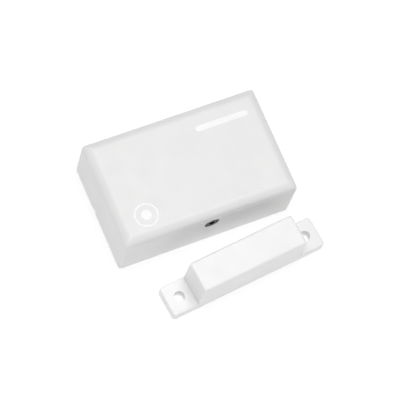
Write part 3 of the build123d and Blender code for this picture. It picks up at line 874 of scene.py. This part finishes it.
def make_print():
    """White printed outlines round the parts and a pin-one dot, with no text."""
    lines = bmesh.new()
    for node in ("capacitors", "resistors"):
        for low, high in islands(node):
            add_frame(lines, low, high, 0.55 * MM)
    gaps = {"tamper_switch": 0.75 * MM, "learn_switch": 0.75 * MM, "crystal": 0.4 * MM,
            "status_led": 0.75 * MM, "reed_glass": 0.2 * MM}
    for node, gap in gaps.items():
        add_frame(lines, *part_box(node), gap)
    dot = Vector((chip_low.x - 1.5 * MM, chip_high.y + 0.3 * MM, 0))
    profile = ((0.25 * MM, PRINT_BOTTOM), (0.25 * MM, PRINT_TOP - 0.005 * MM), (0.2 * MM, PRINT_TOP))
    add_turned(lines, profile, dot, UP, segments=24)
    place_piece(to_object("board_print", lines), white_print, "base")


# ---------------------------------------------------------------- cell marks

def curved_patch(mesh_builder, x, turn, radius, thickness, axis):
    """Adds a thin strip that follows the cell's round side, between two x values and two angles."""
    rings = []
    steps = max(2, int((turn[1] - turn[0]) / 0.06))
    for step in range(steps + 1):
        angle = turn[0] + (turn[1] - turn[0]) * step / steps
        out = Vector((0, sin(angle), cos(angle)))
        near = axis + out * (radius - thickness)
        far = axis + out * (radius + thickness)
        rings.append([near + Vector((x[0], 0, 0)), near + Vector((x[1], 0, 0)),
                      far + Vector((x[1], 0, 0)), far + Vector((x[0], 0, 0))])
    add_loft(mesh_builder, rings)


def make_cell_marks():
    """Polarity signs printed on the cell's sleeve, twice round its side."""
    axis = (cell_low + cell_high) / 2
    axis.x = 0
    radius = (cell_high.z - cell_low.z) / 2
    long_arm = 1.6 * MM
    short_arm = 0.35 * MM
    thickness = 0.02 * MM
    plus_x = cell_high.x - 5.4 * MM
    minus_x = cell_low.x + 4.5 * MM
    signs = bmesh.new()
    for centre in (-0.5, 0.9):
        long_turn = (centre - long_arm / radius, centre + long_arm / radius)
        short_turn = (centre - short_arm / radius, centre + short_arm / radius)
        plus_long = (plus_x - long_arm, plus_x + long_arm)
        plus_short = (plus_x - short_arm, plus_x + short_arm)
        minus_short = (minus_x - short_arm, minus_x + short_arm)
        curved_patch(signs, plus_long, short_turn, radius, thickness, axis)
        curved_patch(signs, plus_short, long_turn, radius, 1.2 * thickness, axis)
        curved_patch(signs, minus_short, long_turn, radius, thickness, axis)
    place_piece(to_object("cell_signs", signs), white_print, "base")


make_cover_shell()
make_marks()
make_lock_screw()
make_pads(make_tracks())
make_print()
make_cell_marks()


# ---------------------------------------------------------------- stage, light and camera

FLOOR_COLOUR = (0.4, 0.4, 0.4)
FLOOR_GLOW = 0.64
FLOOR_SIZE = 6.0
WORLD_LIGHT = 0.22


def make_floor():
    """Pale floor that also glows a little, so that shadows on it stay faint."""
    bpy.ops.mesh.primitive_plane_add(size=FLOOR_SIZE, location=(0, 0, cad_low.z - 0.05 * MM))
    floor = bpy.context.object
    floor.name = "floor"
    material = new_material("floor_paper", FLOOR_COLOUR, 0.9)
    shader = material.node_tree.nodes["Principled BSDF"]
    shader.inputs["Emission Color"].default_value = (1, 1, 1, 1)
    shader.inputs["Emission Strength"].default_value = FLOOR_GLOW
    dress(floor, material)


def add_area(name, place, aim, size, power):
    """A square soft light."""
    lamp = bpy.data.lights.new(name, "AREA")
    lamp.shape = "SQUARE"
    lamp.size = size
    lamp.energy = power
    thing = bpy.data.objects.new(name, lamp)
    thing.location = place
    thing.rotation_euler = (Vector(aim) - Vector(place)).to_track_quat("-Z", "Y").to_euler()
    bpy.context.scene.collection.objects.link(thing)


def aim_camera(target, azimuth, elevation, roll, distance, lens):
    """Puts the camera round the target. Azimuth 0 looks along +Y, roll turns the camera about its view."""
    a, e, r = radians(azimuth), radians(elevation), radians(roll)
    back = Vector((sin(a) * cos(e), -cos(a) * cos(e), sin(e)))
    level = Vector((cos(a), sin(a), 0))
    right = level * cos(r) + back.cross(level) * sin(r)
    up = back.cross(right)
    turn = Matrix((right, up, back)).transposed().to_4x4()
    camera = bpy.data.objects.new("camera", bpy.data.cameras.new("camera"))
    camera.matrix_world = Matrix.Translation(Vector(target) + back * distance) @ turn
    camera.data.lens = lens
    camera.data.sensor_width = 36.0
    camera.data.clip_start, camera.data.clip_end = 0.05, 20.0
    bpy.context.scene.collection.objects.link(camera)
    bpy.context.scene.camera = camera


def light_world():
    """Even white light from all round."""
    world = bpy.data.worlds.new("studio")
    world.use_nodes = True
    background = world.node_tree.nodes["Background"]
    background.inputs["Color"].default_value = (1, 1, 1, 1)
    background.inputs["Strength"].default_value = WORLD_LIGHT
    bpy.context.scene.world = world


make_floor()
light_world()
add_area("softbox", (0, 0.05, 1.3), (0, 0, 0), 1.0, 14.2)
add_area("front_fill", (0.3, -1.2, 0.4), (0, 0, 0), 0.8, 1.7)
add_area("left_fill", (-1.2, -0.3, 0.35), (0, 0, 0), 0.8, 2.2)
bpy.context.scene.view_settings.view_transform = "Standard"
aim_camera(target=(1.77 * MM, -9.29 * MM, 10 * MM), azimuth=-43.69, elevation=67.29, roll=22.07,
           distance=873.4 * MM, lens=216.0)
